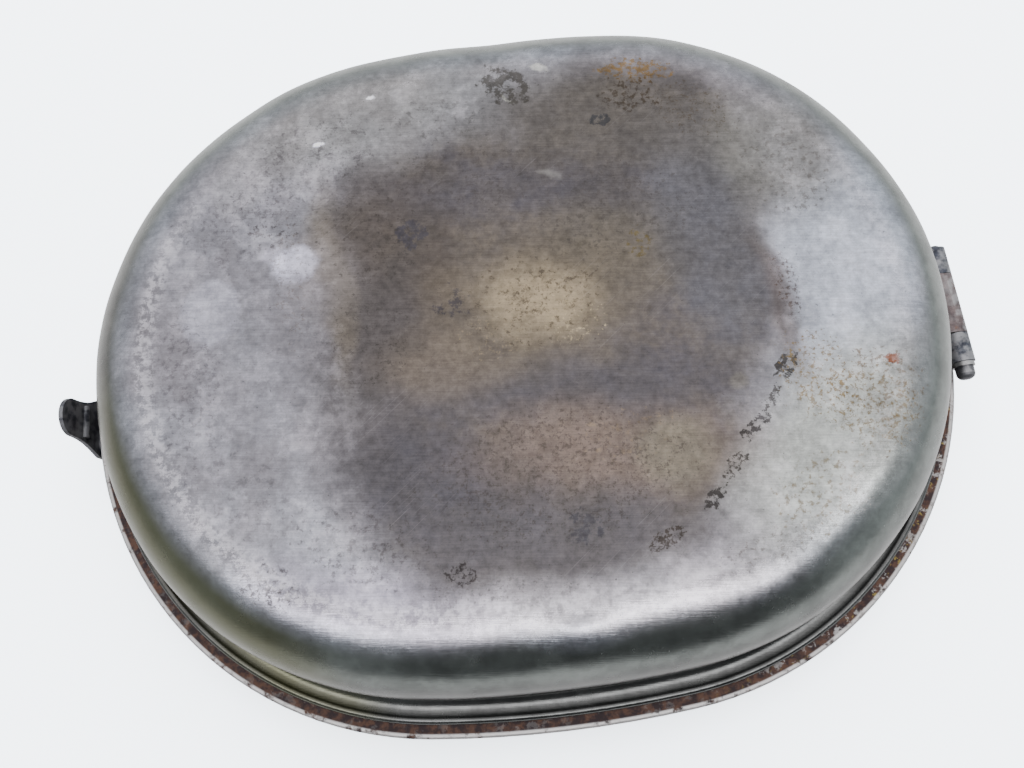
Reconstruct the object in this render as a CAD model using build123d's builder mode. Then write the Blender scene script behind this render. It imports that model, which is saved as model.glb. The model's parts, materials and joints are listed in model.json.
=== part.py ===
"""Oval two-piece steel mess tin, stored closed and upside down: pan on top, divided lid below.

+X points to the hinge end, +Z up. The origin is on the surface it stands on, under the middle.
"""
from build123d import *
from math import atan2, degrees, radians, tan
import os

# Pan rim outline: an oval of four arcs, measured at the outer edge of the rolled bead
RIM_HALF_LENGTH = 104.0
RIM_HALF_WIDTH = 84.0
END_RADIUS = 82.9
CENTRE_X = 1.2            # middle of the rim, so that the whole object is centred on the origin

# Pan
SHEET = 1.0
BEAD_RADIUS = 1.05
RIM_Z = 21.0              # height of the bead's centre
PAN_HEIGHT = 31.45        # from the bead's centre to the base
PAN_DRAFT = 3.4           # degrees
PAN_WALL_INSET = 6.0
SHOULDER_RADIUS = 16.0
COVE_RADIUS = 3.0
WIRE_RADIUS = 0.5
WIRE_BORE = 0.55

# Lid
RIM_GAP = 0.15
LID_OVERHANG = 3.3        # how far the lid's rolled edge stands outside the pan's bead
LID_ROLL_RADIUS = 0.75
LID_ROLL_DROP = 0.8       # from the flange's top down to the middle of the roll
LID_DRAFT = 5.7           # degrees
LID_WALL_INSET = 6.5
LID_COVE = 1.5
TRAY_DEPTH = 4.0          # from the flange down to the top of the ridge between the wells
VALLEY_HALF_WIDTH = 13.2  # at the roof of the valley
WELL_CORNER = 12.0
WELL_BOTTOM_RADIUS = 6.0

# Hinge
HINGE_X = 106.17          # from the middle of the rim
HINGE_Z = RIM_Z + 2.6
KNUCKLE_RADIUS = 2.8
KNUCKLE_NOTCH = 0.8       # the strap is cut away this far below the knuckles
KNUCKLE_GAP = 0.15
MIDDLE_HALF_WIDTH = 7.6
OUTER_HALF_WIDTH = 14.8
PIN_RADIUS = 1.25
PIN_CLEARANCE = 0.05
PIN_HEAD_RADIUS = 2.1
PIN_HEAD_LENGTH = 3.1
PEEN_RADIUS = 1.8
PEEN_LENGTH = 0.7
WASHER_RADIUS = 2.5
WASHER_THICKNESS = 1.0
SIDE_PLAY = 0.1
BRACKET_THICKNESS = 1.4
BRACKET_HALF_WIDTH = 11.0
BRACKET_TOP = 36.0
BRACKET_CORNER = 3.5
BRACKET_RIVET_Y = 6.5
BRACKET_RIVET_Z = 31.5
RIVET_RADIUS = 1.5
RIVET_HEAD_RADIUS = 2.7
RIVET_HEAD_HEIGHT = 1.0
RIVET_SINK = 0.85         # from the pan's outer face at the rivet's height in to the shank's start
RIVET_BED = 0.3           # taken off both ends of the grip, as the pan's end is curved

# Handle strap
STRAP_THICKNESS = 1.4
STRAP_HALF_WIDTH = 10.0
STRAP_BOTTOM = 1.0
STRAP_BEND = 5.0
LIP_HEIGHT = 1.5
LIP_THICKNESS = 1.2
LIP_END = 96.0
FLARE_LOW = 8.5           # the strap widens from here
FLARE_HIGH = 16.5         # to the full width of the hinge here
END_TOP = 14.8
END_CORNER = 3.5
SLOT_X = -66.0
SLOT_LENGTH = 30.0
SLOT_WIDTH = 8.0
GROOVE_X = 22.0
GROOVE_LENGTH = 118.0
GROOVE_WIDTH = 7.0
GROOVE_DEPTH = 0.5

# Latch tongue
TONGUE_X = -109.6         # its inner face, from the middle of the rim
TONGUE_Y = -3.0           # it sits to one side of the strap's middle
TONGUE_THICKNESS = 1.0
TONGUE_BOTTOM = 7.0
TONGUE_WAIST = 14.0
TONGUE_TIP = RIM_Z + 10.6
TONGUE_TIP_RADIUS = 4.6
TONGUE_HALF_WIDTH = 7.6
CATCH_RADIUS = 1.0
CATCH_HALF_WIDTH = 4.0
CATCH_Z = RIM_Z + 0.3
LATCH_RIVET_Y = 4.5
LATCH_RIVET_Z = 10.8
SMALL_RIVET_RADIUS = 1.2
SMALL_HEAD_RADIUS = 2.1
SMALL_HEAD_HEIGHT = 0.8

# Carrying ring and its clip, under the roof of the valley
RING_WIRE = 1.25
RING_HALF_WIDTH = 9.8
RING_CORNER = 3.0
RING_X = -76.0            # its pivot, from the middle of the rim
RING_REACH = 36.0
CLIP_THICKNESS = 1.2
CLIP_CLEARANCE = 0.06
CLIP_HALF_WIDTH = 6.5
CLIP_LENGTH = 20.0
CLIP_RIVETS = (7.5, 15.0)

FLANGE_BOTTOM = RIM_Z - 0.4
PAN_TOP = RIM_Z + PAN_HEIGHT
LID_TOP = RIM_Z - BEAD_RADIUS - RIM_GAP
ROOF_TOP = LID_TOP - TRAY_DEPTH
ROOF_BOTTOM = ROOF_TOP - SHEET
WALL_X = CENTRE_X + RIM_HALF_LENGTH - PAN_WALL_INSET
AXIS_X = CENTRE_X + HINGE_X
LEG_X = AXIS_X + KNUCKLE_RADIUS - STRAP_THICKNESS / 2
STRAP_Z = STRAP_BOTTOM + STRAP_THICKNESS / 2
LATCH_X = CENTRE_X + TONGUE_X
CLIP_LOOP = RING_WIRE + CLIP_CLEARANCE + CLIP_THICKNESS
RING_Z = ROOF_BOTTOM - CLIP_LOOP
PIVOT_X = CENTRE_X + RING_X

# The side arcs of the oval follow from its length, its width and its end radius
END_CENTRE = RIM_HALF_LENGTH - END_RADIUS
SIDE_RADIUS = (RIM_HALF_WIDTH**2 + END_CENTRE**2 - END_RADIUS**2) / (2 * (RIM_HALF_WIDTH - END_RADIUS))
SIDE_CENTRE = SIDE_RADIUS - RIM_HALF_WIDTH
JOIN_ANGLE = degrees(atan2(SIDE_CENTRE, END_CENTRE))


def oval_line(inset):
    """The rim's outline moved inwards by inset, as four tangent arcs."""
    end = END_RADIUS - inset
    side = SIDE_RADIUS - inset
    CenterArc((CENTRE_X + END_CENTRE, 0), end, -JOIN_ANGLE, 2 * JOIN_ANGLE)
    CenterArc((CENTRE_X, -SIDE_CENTRE), side, JOIN_ANGLE, 180 - 2 * JOIN_ANGLE)
    CenterArc((CENTRE_X - END_CENTRE, 0), end, 180 - JOIN_ANGLE, 2 * JOIN_ANGLE)
    CenterArc((CENTRE_X, SIDE_CENTRE), side, 180 + JOIN_ANGLE, 180 - 2 * JOIN_ANGLE)


def oval_block(inset, low, high, taper=0.0):
    """A solid with the oval outline at its low end, drawn in by taper degrees towards high."""
    with BuildPart() as block:
        with BuildSketch(Plane.XY.offset(low)):
            with BuildLine():
                oval_line(inset)
            make_face()
        extrude(amount=high - low, taper=taper)
    return block.part


def oval_rod(inset, height, radius):
    """A closed round rod that follows the oval outline."""
    with BuildPart() as rod:
        with BuildLine(Plane.XY.offset(height)) as path:
            oval_line(inset)
        with BuildSketch(Plane(origin=path.line @ 0, z_dir=path.line % 0)):
            Circle(radius)
        sweep(path=path.line)
    return rod.part


def pan_form(inset, top, shoulder):
    """The drafted body of the pan, with its rounded shoulder."""
    with BuildPart() as form:
        add(oval_block(inset, FLANGE_BOTTOM, top, PAN_DRAFT))
        fillet(form.edges().group_by(Axis.Z)[-1], shoulder)
    return form.part


def lid_form(grow):
    """The solid inside the lid's outer skin (grow 0) or inside its inner skin (grow SHEET)."""
    tray_bottom = ROOF_BOTTOM + grow
    tray_inset = LID_WALL_INSET + grow
    well_inset = tray_inset + (LID_TOP - tray_bottom) * tan(radians(LID_DRAFT))
    valley = VALLEY_HALF_WIDTH + grow
    down = Plane(origin=(0, 0, tray_bottom), x_dir=(1, 0, 0), z_dir=(0, 0, -1))
    with BuildPart() as form:
        with BuildSketch(down) as wells:
            with BuildLine():
                oval_line(well_inset)
            make_face()
            Rectangle(3 * RIM_HALF_LENGTH, 2 * valley, mode=Mode.SUBTRACT)
            corners = wells.vertices().filter_by(lambda corner: abs(corner.Y) < valley + 0.01)
            fillet(corners, WELL_CORNER - grow)
        extrude(amount=tray_bottom - grow, taper=LID_DRAFT)
        fillet(form.edges().group_by(Axis.Z)[0], WELL_BOTTOM_RADIUS - grow)
        with BuildSketch(down.offset(tray_bottom - LID_TOP)):
            with BuildLine():
                oval_line(tray_inset)
            make_face()
        extrude(amount=LID_TOP - tray_bottom, taper=LID_DRAFT)
    return form.part


def rivet(radius, grip, head_radius, head_height):
    """A rivet along +Z: its shank spans 0 to grip, with a domed head beyond each end."""
    with BuildPart() as body:
        with BuildSketch(Plane.XZ):
            with BuildLine():
                Polyline((0, -head_height), (head_radius * 0.45, -head_height))
                RadiusArc((head_radius * 0.45, -head_height), (head_radius, 0), -head_radius)
                Polyline((head_radius, 0), (radius, 0), (radius, grip), (head_radius, grip))
                RadiusArc((head_radius, grip), (head_radius * 0.45, grip + head_height), -head_radius)
                Polyline((head_radius * 0.45, grip + head_height), (0, grip + head_height), (0, -head_height))
            make_face()
        revolve(axis=Axis.Z)
    return body.part


def finish_piece(piece, name):
    piece.part.label = name
    export_step(piece.part, f"parts/{name}.step")


os.makedirs("parts", exist_ok=True)

# The outside and the inside of the two pressings
pan_outside = pan_form(PAN_WALL_INSET, PAN_TOP, SHOULDER_RADIUS)
pan_inside = pan_form(PAN_WALL_INSET + SHEET, PAN_TOP - SHEET, SHOULDER_RADIUS - SHEET)
lid_outside = lid_form(0)
lid_inside = lid_form(SHEET)

# Local x is +X, local y is +Z and local z is -Y on the hinge's axis and on the ring's
hinge_plane = Plane(origin=(AXIS_X, 0, HINGE_Z), x_dir=(1, 0, 0), z_dir=(0, -1, 0))
ring_plane = Plane(origin=(PIVOT_X, 0, RING_Z), x_dir=(1, 0, 0), z_dir=(0, -1, 0))

# Bracket rivets lie along +X, through the pan's wall and the bracket
bracket_rivets = [
    Plane(origin=(WALL_X, side * BRACKET_RIVET_Y, BRACKET_RIVET_Z), x_dir=(0, 1, 0), z_dir=(1, 0, 0))
    for side in (-1, 1)
]
latch_rivets_at = [
    Plane(
        origin=(LATCH_X - TONGUE_THICKNESS, TONGUE_Y + side * LATCH_RIVET_Y, LATCH_RIVET_Z),
        x_dir=(0, 1, 0), z_dir=(1, 0, 0),
    )
    for side in (-1, 1)
]
clip_rivets_at = [Plane.XY.offset(ROOF_BOTTOM - CLIP_THICKNESS).move(Location((PIVOT_X + step, 0, 0)))
                  for step in CLIP_RIVETS]

# The pan
with BuildPart() as pan_shell:
    add(oval_block(BEAD_RADIUS, FLANGE_BOTTOM, FLANGE_BOTTOM + SHEET))
    add(pan_outside)
    fillet(pan_shell.edges(Select.NEW), COVE_RADIUS)
    add(pan_inside, mode=Mode.SUBTRACT)
    add(oval_rod(BEAD_RADIUS, RIM_Z, BEAD_RADIUS))
    add(oval_rod(BEAD_RADIUS, RIM_Z, WIRE_BORE), mode=Mode.SUBTRACT)
    for spot in bracket_rivets:
        with BuildSketch(spot):
            Circle(RIVET_RADIUS)
        extrude(amount=4 * BRACKET_THICKNESS, both=True, mode=Mode.SUBTRACT)
finish_piece(pan_shell, "pan_shell")

with BuildPart() as pan_rim_wire:
    add(oval_rod(BEAD_RADIUS, RIM_Z, WIRE_RADIUS))
finish_piece(pan_rim_wire, "pan_rim_wire")

# The hinge bracket, pin and washer are fixed to the pan
with BuildPart() as hinge_bracket:
    add(oval_block(PAN_WALL_INSET - BRACKET_THICKNESS, FLANGE_BOTTOM, BRACKET_TOP, PAN_DRAFT))
    plate_bottom = HINGE_Z + KNUCKLE_RADIUS - BRACKET_THICKNESS
    with BuildSketch(Plane.YZ.offset(WALL_X - 5 * BRACKET_THICKNESS)):
        with Locations((0, (BRACKET_TOP + plate_bottom) / 2)):
            RectangleRounded(2 * BRACKET_HALF_WIDTH, BRACKET_TOP - plate_bottom, BRACKET_CORNER)
    extrude(amount=10 * BRACKET_THICKNESS, mode=Mode.INTERSECT)
    with BuildSketch(hinge_plane):
        Circle(KNUCKLE_RADIUS)
        with Locations((0, KNUCKLE_RADIUS)):
            Rectangle(AXIS_X - WALL_X + BRACKET_THICKNESS, BRACKET_THICKNESS, align=(Align.MAX, Align.MAX))
        Circle(PIN_RADIUS, mode=Mode.SUBTRACT)
    extrude(amount=MIDDLE_HALF_WIDTH, both=True)
    add(pan_outside, mode=Mode.SUBTRACT)
    for spot in bracket_rivets:
        with BuildSketch(spot):
            Circle(RIVET_RADIUS)
        extrude(amount=4 * BRACKET_THICKNESS, both=True, mode=Mode.SUBTRACT)
finish_piece(hinge_bracket, "hinge_bracket")

with BuildPart() as hinge_rivets:
    grip = BRACKET_THICKNESS + SHEET - RIVET_BED
    for spot in bracket_rivets:
        add(spot.offset(-RIVET_SINK) * rivet(RIVET_RADIUS, grip, RIVET_HEAD_RADIUS, RIVET_HEAD_HEIGHT + RIVET_BED))
    add(pan_shell.part, mode=Mode.SUBTRACT)
    add(hinge_bracket.part, mode=Mode.SUBTRACT)
finish_piece(hinge_rivets, "hinge_rivets")

washer_start = OUTER_HALF_WIDTH + SIDE_PLAY
head_start = washer_start + WASHER_THICKNESS
with BuildPart() as hinge_pin:
    with BuildSketch(hinge_plane.offset(-washer_start)):
        Circle(PIN_RADIUS)
    extrude(amount=washer_start + head_start)
    with BuildSketch(hinge_plane.offset(head_start)):
        Circle(PIN_HEAD_RADIUS)
    extrude(amount=PIN_HEAD_LENGTH)
    fillet(hinge_pin.edges().filter_by(GeomType.CIRCLE).sort_by(Axis.Y)[0], PIN_HEAD_RADIUS * 0.7)
    with BuildSketch(hinge_plane.offset(-washer_start)):
        Circle(PEEN_RADIUS)
    extrude(amount=-PEEN_LENGTH)
    fillet(hinge_pin.edges().filter_by(GeomType.CIRCLE).sort_by(Axis.Y)[-1], PEEN_LENGTH * 0.7)
finish_piece(hinge_pin, "hinge_pin")

with BuildPart() as hinge_washer:
    with BuildSketch(hinge_plane.offset(washer_start)):
        Circle(WASHER_RADIUS)
        Circle(PIN_RADIUS, mode=Mode.SUBTRACT)
    extrude(amount=WASHER_THICKNESS)
finish_piece(hinge_washer, "hinge_washer")

# The handle
with BuildPart() as handle_strap:
    with BuildSketch(Plane.XZ):
        with BuildLine() as route:
            FilletPolyline(
                (LEG_X, HINGE_Z),
                (LEG_X, STRAP_Z),
                (LATCH_X + STRAP_THICKNESS / 2, STRAP_Z),
                (LATCH_X + STRAP_THICKNESS / 2, END_TOP),
                radius=STRAP_BEND,
            )
        trace(route.line, STRAP_THICKNESS)
    extrude(amount=OUTER_HALF_WIDTH, both=True)
    # trim the sides: wide at the hinge, narrow along the rest
    for side in (-1, 1):
        with BuildSketch(Plane.YZ):
            with BuildLine():
                Polyline(
                    (side * STRAP_HALF_WIDTH, 0),
                    (side * STRAP_HALF_WIDTH, FLARE_LOW),
                    (side * OUTER_HALF_WIDTH, FLARE_HIGH),
                    (side * 2 * OUTER_HALF_WIDTH, FLARE_HIGH),
                    (side * 2 * OUTER_HALF_WIDTH, 0),
                    close=True,
                )
            make_face()
        extrude(amount=2 * RIM_HALF_LENGTH, mode=Mode.SUBTRACT)
        with BuildSketch(Plane.YZ):
            with Locations((side * STRAP_HALF_WIDTH, 0)):
                Rectangle(
                    OUTER_HALF_WIDTH, 2 * END_TOP + 1,
                    align=(Align.MIN if side > 0 else Align.MAX, Align.CENTER),
                )
        extrude(amount=-2 * RIM_HALF_LENGTH, mode=Mode.SUBTRACT)
    long_edges = handle_strap.edges().filter_by(Axis.X)
    top_corners = long_edges.filter_by_position(Axis.Z, END_TOP - 0.1, END_TOP + 0.1)
    fillet(top_corners, END_CORNER)
    # notch for the bracket's knuckle, then the strap's own two knuckles
    with BuildSketch(hinge_plane):
        with Locations((0, -KNUCKLE_RADIUS - KNUCKLE_NOTCH)):
            Rectangle(3 * KNUCKLE_RADIUS, 3 * KNUCKLE_RADIUS, align=(Align.CENTER, Align.MIN))
    extrude(amount=MIDDLE_HALF_WIDTH + KNUCKLE_GAP, both=True, mode=Mode.SUBTRACT)
    for side in (-1, 1):
        with BuildSketch(hinge_plane.offset(side * (MIDDLE_HALF_WIDTH + KNUCKLE_GAP))):
            Circle(KNUCKLE_RADIUS)
        extrude(amount=side * (OUTER_HALF_WIDTH - MIDDLE_HALF_WIDTH - KNUCKLE_GAP))
    with BuildSketch(hinge_plane):
        Circle(PIN_RADIUS + PIN_CLEARANCE)
    extrude(amount=2 * OUTER_HALF_WIDTH, both=True, mode=Mode.SUBTRACT)
    # raised edges along the strap
    with BuildSketch(Plane.XZ.offset(-STRAP_HALF_WIDTH)):
        with BuildLine():
            Polyline(
                (CENTRE_X - LIP_END, STRAP_Z),
                (CENTRE_X + LIP_END, STRAP_Z),
                (CENTRE_X + LIP_END - 6, STRAP_Z + STRAP_THICKNESS / 2 + LIP_HEIGHT),
                (CENTRE_X - LIP_END + 6, STRAP_Z + STRAP_THICKNESS / 2 + LIP_HEIGHT),
                close=True,
            )
        make_face()
    lip = extrude(amount=LIP_THICKNESS)
    mirror(lip, about=Plane.XZ)
    # hanging slot, and the pressed groove along the outer face
    with BuildSketch(Plane.XY):
        with Locations((CENTRE_X + SLOT_X, 0)):
            SlotOverall(SLOT_LENGTH, SLOT_WIDTH)
    extrude(amount=STRAP_BOTTOM + 2 * STRAP_THICKNESS, mode=Mode.SUBTRACT)
    with BuildSketch(Plane.XY):
        with Locations((CENTRE_X + GROOVE_X, 0)):
            SlotOverall(GROOVE_LENGTH, GROOVE_WIDTH)
    extrude(amount=STRAP_BOTTOM + GROOVE_DEPTH, mode=Mode.SUBTRACT)
    for spot in latch_rivets_at:
        with BuildSketch(spot):
            Circle(SMALL_RIVET_RADIUS)
        extrude(amount=2 * STRAP_THICKNESS + TONGUE_THICKNESS, mode=Mode.SUBTRACT)
finish_piece(handle_strap, "handle_strap")

tongue_plane = Plane(origin=(LATCH_X, TONGUE_Y, 0), x_dir=(0, 1, 0), z_dir=(1, 0, 0))
with BuildPart() as latch_tongue:
    with BuildSketch(tongue_plane):
        with BuildLine():
            Polyline((0, TONGUE_BOTTOM), (TONGUE_HALF_WIDTH, TONGUE_BOTTOM), (TONGUE_HALF_WIDTH, TONGUE_WAIST))
            Bezier(
                (TONGUE_HALF_WIDTH, TONGUE_WAIST),
                (TONGUE_HALF_WIDTH * 0.84, TONGUE_WAIST + 3.5),
                (TONGUE_TIP_RADIUS, TONGUE_WAIST + 6.5),
                (TONGUE_TIP_RADIUS, TONGUE_TIP - TONGUE_TIP_RADIUS),
            )
            CenterArc((0, TONGUE_TIP - TONGUE_TIP_RADIUS), TONGUE_TIP_RADIUS, 0, 90)
            mirror(about=Plane.YZ)
        make_face()
    extrude(amount=-TONGUE_THICKNESS)
    with BuildSketch(Plane.XZ.offset(-TONGUE_Y)):
        with Locations((LATCH_X, CATCH_Z)):
            Circle(CATCH_RADIUS)
    extrude(amount=CATCH_HALF_WIDTH, both=True)
    with BuildSketch(tongue_plane.offset(-TONGUE_THICKNESS)):
        with Locations((0, CATCH_Z)):
            Rectangle(4 * CATCH_HALF_WIDTH, 4 * CATCH_RADIUS)
    extrude(amount=-2 * CATCH_RADIUS, mode=Mode.SUBTRACT)
    for spot in latch_rivets_at:
        with BuildSketch(spot):
            Circle(SMALL_RIVET_RADIUS)
        extrude(amount=2 * TONGUE_THICKNESS, mode=Mode.SUBTRACT)
finish_piece(latch_tongue, "latch_tongue")

with BuildPart() as latch_rivets:
    for spot in latch_rivets_at:
        grip = STRAP_THICKNESS + TONGUE_THICKNESS
        add(spot * rivet(SMALL_RIVET_RADIUS, grip, SMALL_HEAD_RADIUS, SMALL_HEAD_HEIGHT))
finish_piece(latch_rivets, "latch_rivets")

# The lid
with BuildPart() as lid_plate:
    add(oval_block(LID_ROLL_RADIUS - LID_OVERHANG, LID_TOP - SHEET, LID_TOP))
    add(lid_outside)
    fillet(lid_plate.edges(Select.NEW), LID_COVE)
    add(lid_inside, mode=Mode.SUBTRACT)
    add(oval_rod(LID_ROLL_RADIUS - LID_OVERHANG, LID_TOP - LID_ROLL_DROP, LID_ROLL_RADIUS))
    for spot in clip_rivets_at:
        with BuildSketch(spot):
            Circle(SMALL_RIVET_RADIUS)
        extrude(amount=2 * (SHEET + CLIP_THICKNESS), mode=Mode.SUBTRACT)
finish_piece(lid_plate, "lid_plate")

with BuildPart() as ring_clip:
    with BuildSketch(ring_plane):
        Circle(CLIP_LOOP)
        with Locations((0, CLIP_LOOP)):
            Rectangle(CLIP_LENGTH, CLIP_THICKNESS, align=(Align.MIN, Align.MAX))
        Circle(RING_WIRE + CLIP_CLEARANCE, mode=Mode.SUBTRACT)
    extrude(amount=CLIP_HALF_WIDTH, both=True)
    for spot in clip_rivets_at:
        with BuildSketch(spot):
            Circle(SMALL_RIVET_RADIUS)
        extrude(amount=2 * CLIP_THICKNESS, mode=Mode.SUBTRACT)
finish_piece(ring_clip, "ring_clip")

with BuildPart() as ring_clip_rivets:
    for spot in clip_rivets_at:
        add(spot * rivet(SMALL_RIVET_RADIUS, SHEET + CLIP_THICKNESS, SMALL_HEAD_RADIUS, SMALL_HEAD_HEIGHT))
finish_piece(ring_clip_rivets, "ring_clip_rivets")

# The carrying ring
with BuildPart() as carrying_ring:
    ring_end = PIVOT_X + RING_REACH - RING_HALF_WIDTH
    with BuildLine(Plane.XY.offset(RING_Z)) as loop:
        FilletPolyline(
            (ring_end, -RING_HALF_WIDTH),
            (PIVOT_X, -RING_HALF_WIDTH),
            (PIVOT_X, RING_HALF_WIDTH),
            (ring_end, RING_HALF_WIDTH),
            radius=RING_CORNER,
        )
        ThreePointArc(
            (ring_end, RING_HALF_WIDTH), (ring_end + RING_HALF_WIDTH, 0), (ring_end, -RING_HALF_WIDTH)
        )
    with BuildSketch(Plane(origin=loop.line @ 0, z_dir=loop.line % 0)):
        Circle(RING_WIRE)
    sweep(path=loop.line)
finish_piece(carrying_ring, "carrying_ring")
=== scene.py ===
import json
import math

import bpy
from mathutils import Matrix, Vector, noise


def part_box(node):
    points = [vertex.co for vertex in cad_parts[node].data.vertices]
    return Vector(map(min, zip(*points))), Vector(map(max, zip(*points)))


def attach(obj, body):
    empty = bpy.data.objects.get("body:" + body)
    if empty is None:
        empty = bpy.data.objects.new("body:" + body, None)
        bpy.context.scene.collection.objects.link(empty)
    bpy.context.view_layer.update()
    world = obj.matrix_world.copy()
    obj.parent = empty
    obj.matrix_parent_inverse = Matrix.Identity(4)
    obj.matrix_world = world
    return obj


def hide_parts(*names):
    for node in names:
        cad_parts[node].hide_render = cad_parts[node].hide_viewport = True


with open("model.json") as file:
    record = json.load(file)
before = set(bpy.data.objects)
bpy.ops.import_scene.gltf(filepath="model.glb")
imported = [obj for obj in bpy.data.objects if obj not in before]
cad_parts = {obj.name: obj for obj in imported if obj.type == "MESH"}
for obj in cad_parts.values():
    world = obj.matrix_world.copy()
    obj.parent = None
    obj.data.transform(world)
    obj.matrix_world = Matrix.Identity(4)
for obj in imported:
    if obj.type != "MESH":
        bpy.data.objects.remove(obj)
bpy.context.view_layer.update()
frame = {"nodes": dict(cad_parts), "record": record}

mm = 0.001
rimLow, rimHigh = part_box("pan_shell")
rimCentre = Vector(((rimLow[0] + rimHigh[0]) / 2, (rimLow[1] + rimHigh[1]) / 2, 0))
rimHalfLength = (rimHigh[0] - rimLow[0]) / 2
rimHalfWidth = (rimHigh[1] - rimLow[1]) / 2
panTop = rimHigh[2]

# the camera stands above the front of the pan and looks down on it
cameraSettings = {
    "focalLength": 28.7,
    "aim": Vector((-2.81, -10.22, 36.0)) * mm,  # from the floor under the middle of the rim
    "distance": 187.3 * mm,
    "elevation": math.radians(74.5),
    "swing": math.radians(0.62),
    "roll": math.radians(-7.35),
}


def placeCamera(settings):
    lens = bpy.data.cameras.new("viewCamera")
    lens.lens = settings["focalLength"]
    lens.sensor_width = 36
    lens.clip_start = 0.01
    camera = bpy.data.objects.new("viewCamera", lens)
    bpy.context.collection.objects.link(camera)
    up = settings["elevation"]
    away = Vector((
        math.sin(settings["swing"]) * math.cos(up),
        -math.cos(settings["swing"]) * math.cos(up),
        math.sin(up),
    ))
    turn = away.to_track_quat("Z", "Y").to_matrix().to_4x4() @ Matrix.Rotation(settings["roll"], 4, "Z")
    place = rimCentre + settings["aim"] + settings["distance"] * away
    camera.matrix_world = Matrix.Translation(place) @ turn
    bpy.context.scene.camera = camera
    return camera


placeCamera(cameraSettings)
print("camera placed")


# helpers that add one node each and return its output
def feed(tree, socket, value):
    if isinstance(value, bpy.types.NodeSocket):
        tree.links.new(value, socket)
    elif value is not None:
        socket.default_value = value


def maths(tree, operation, first, second=None, clamp=False):
    node = tree.nodes.new("ShaderNodeMath")
    node.operation = operation
    node.use_clamp = clamp
    feed(tree, node.inputs[0], first)
    feed(tree, node.inputs[1], second)
    return node.outputs[0]


def vectorMaths(tree, operation, first, second=None, scale=None):
    node = tree.nodes.new("ShaderNodeVectorMath")
    node.operation = operation
    feed(tree, node.inputs[0], first)
    feed(tree, node.inputs[1], second)
    if scale is not None:
        feed(tree, node.inputs["Scale"], scale)
    return node.outputs["Value"] if operation == "LENGTH" else node.outputs["Vector"]


def mixColour(tree, amount, first, second):
    node = tree.nodes.new("ShaderNodeMix")
    node.data_type = "RGBA"
    feed(tree, node.inputs["Factor"], amount)
    feed(tree, node.inputs[6], first)
    feed(tree, node.inputs[7], second)
    return node.outputs[2]


def spread(tree, value, fromLow, fromHigh, toLow=0.0, toHigh=1.0, smooth=True):
    node = tree.nodes.new("ShaderNodeMapRange")
    node.interpolation_type = "SMOOTHSTEP" if smooth else "LINEAR"
    feed(tree, node.inputs["Value"], value)
    feed(tree, node.inputs["From Min"], fromLow)
    feed(tree, node.inputs["From Max"], fromHigh)
    feed(tree, node.inputs["To Min"], toLow)
    feed(tree, node.inputs["To Max"], toHigh)
    return node.outputs["Result"]


def noiseField(tree, place, scale, detail=3.0, roughness=0.55, colour=False):
    node = tree.nodes.new("ShaderNodeTexNoise")
    feed(tree, node.inputs["Vector"], place)
    feed(tree, node.inputs["Scale"], scale)
    feed(tree, node.inputs["Detail"], detail)
    feed(tree, node.inputs["Roughness"], roughness)
    return node.outputs["Color"] if colour else node.outputs[0]


def tone(red, green, blue):
    def linear(value):
        value /= 255
        return value / 12.92 if value <= 0.04045 else ((value + 0.055) / 1.055) ** 2.4
    return (linear(red), linear(green), linear(blue), 1.0)


# the colour of a bare metal that reads as this shade when it mirrors the bright dome
def steelShade(red, green, blue, dome=1.6):
    def reflected(value):
        value /= 255
        return 0.236 * value**1.266 / (1 - value) ** 1.186 / dome
    return (reflected(red), reflected(green), reflected(blue), 1.0)


def startGroup(name, inputs, outputs):
    tree = bpy.data.node_groups.new(name, "ShaderNodeTree")
    for label, kind, value in inputs:
        socket = tree.interface.new_socket(label, in_out="INPUT", socket_type=kind)
        if value is not None:
            socket.default_value = value
    for label, kind in outputs:
        tree.interface.new_socket(label, in_out="OUTPUT", socket_type=kind)
    entry = tree.nodes.new("NodeGroupInput")
    leave = tree.nodes.new("NodeGroupOutput")
    return tree, entry.outputs, leave.inputs


def useGroup(tree, group, **values):
    node = tree.nodes.new("ShaderNodeGroup")
    node.node_tree = group
    for label, value in values.items():
        feed(tree, node.inputs[label], value)
    return node.outputs


number = "NodeSocketFloat"
arrow = "NodeSocketVector"


# place on the object in millimetres from the middle of the rim, plain and warped by noise
def makePlaceGroup():
    tree, given, result = startGroup("placeInMillimetres", [
        ("Warp", number, 3.0),
        ("WarpSize", number, 12.0),
    ], [("Place", arrow), ("Warped", arrow)])
    where = tree.nodes.new("ShaderNodeTexCoord").outputs["Object"]
    shifted = vectorMaths(tree, "SUBTRACT", where, tuple(rimCentre))
    place = vectorMaths(tree, "SCALE", shifted, scale=1 / mm)
    pushes = noiseField(tree, place, maths(tree, "DIVIDE", 1.0, given["WarpSize"]), detail=3.0, colour=True)
    centred = vectorMaths(tree, "SUBTRACT", pushes, (0.5, 0.5, 0.5))
    push = vectorMaths(tree, "SCALE", centred, scale=maths(tree, "MULTIPLY", given["Warp"], 2.0))
    feed(tree, result["Place"], place)
    feed(tree, result["Warped"], vectorMaths(tree, "ADD", place, push))
    return tree


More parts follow.
